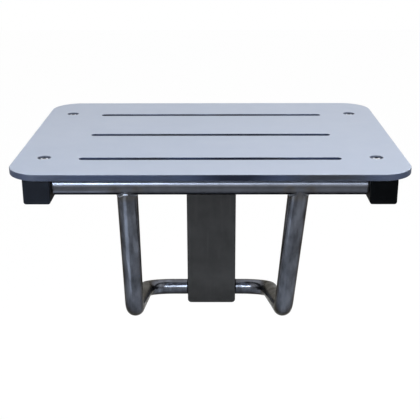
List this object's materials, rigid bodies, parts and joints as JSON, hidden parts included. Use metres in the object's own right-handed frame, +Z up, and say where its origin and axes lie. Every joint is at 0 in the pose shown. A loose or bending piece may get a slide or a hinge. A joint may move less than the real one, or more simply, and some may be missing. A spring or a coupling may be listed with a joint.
{
  "type": "fold down wall seat",
  "caption": "Wall-hinged folding seat: slotted laminate panel on square rails, with a bent tube brace that slides up a wall guide as the seat folds up.",
  "frame": {"origin": "on the wall face, at the centre of the guide's four wall screw holes", "axes": "+X to the right for someone facing the wall, +Y into the wall, +Z up; the seat reaches towards -Y"},
  "size_m": [0.4946, 0.4, 0.3447],
  "materials": {
    "laminate": "satin compact laminate, pale blue-grey with a black core",
    "polished_tube": "polished stainless",
    "rail_steel": "satin stainless",
    "dark_plate": "dark grey satin",
    "screw_steel": "satin stainless",
    "plated_steel": "zinc plated",
    "black_plastic": "satin",
    "nylon": "natural nylon",
    "black_rubber": "matt"
  },
  "bodies": {
    "wall_mount": {"hinge_bracket_left": "rail_steel", "hinge_bracket_right": "rail_steel", "hinge_pin_left": "plated_steel", "hinge_pin_right": "plated_steel", "hinge_nuts": "plated_steel", "guide_back_plate": "rail_steel", "guide_front_plate": "dark_plate", "guide_bottom_spacer": "rail_steel", "guide_top_spacer": "rail_steel", "guide_bottom_pad": "black_rubber", "guide_top_pad": "black_rubber"},
    "seat": {"seat_panel": "laminate", "side_rail_left": "rail_steel", "side_rail_right": "rail_steel", "front_cap_left": "black_plastic", "front_cap_right": "black_plastic", "rear_cap_left": "black_plastic", "rear_cap_right": "black_plastic", "panel_screws": "screw_steel", "panel_nuts": "plated_steel", "hinge_bushes": "nylon", "pivot_bushes": "nylon"},
    "brace": {"pivot_tube": "polished_tube", "leg_left": "polished_tube", "leg_right": "polished_tube", "pivot_plug_left": "plated_steel", "pivot_plug_right": "plated_steel", "pivot_bolt_left": "plated_steel", "pivot_bolt_right": "plated_steel", "bar_plug_left": "black_plastic", "bar_plug_right": "black_plastic"},
    "slide": {"bar_centre": "polished_tube", "guide_sleeve": "nylon", "bar_centre_plugs": "black_plastic"}
  },
  "joints": [
    {"name": "seat_fold", "type": "hinge", "parent": "wall_mount", "child": "seat", "pos_m": [0, -0.036, 0.07], "axis": [-1, 0, 0], "range_deg": [0, 90]},
    {"name": "brace_fold", "type": "hinge", "parent": "seat", "child": "brace", "pos_m": [0, -0.368, 0.0723], "axis": [-1, 0, 0], "range_deg": [-42.69, 0]},
    {"name": "guide_slide", "type": "slide", "parent": "wall_mount", "child": "slide", "axis": [0, 0, 1], "range_m": [0, 0.16869]}
  ],
  "couplings": [
    {"joint": "brace_fold", "follows": "seat_fold", "ratio": -0.47423},
    {"joint": "guide_slide", "follows": "seat_fold", "m_per_rad": 0.10739}
  ]
}
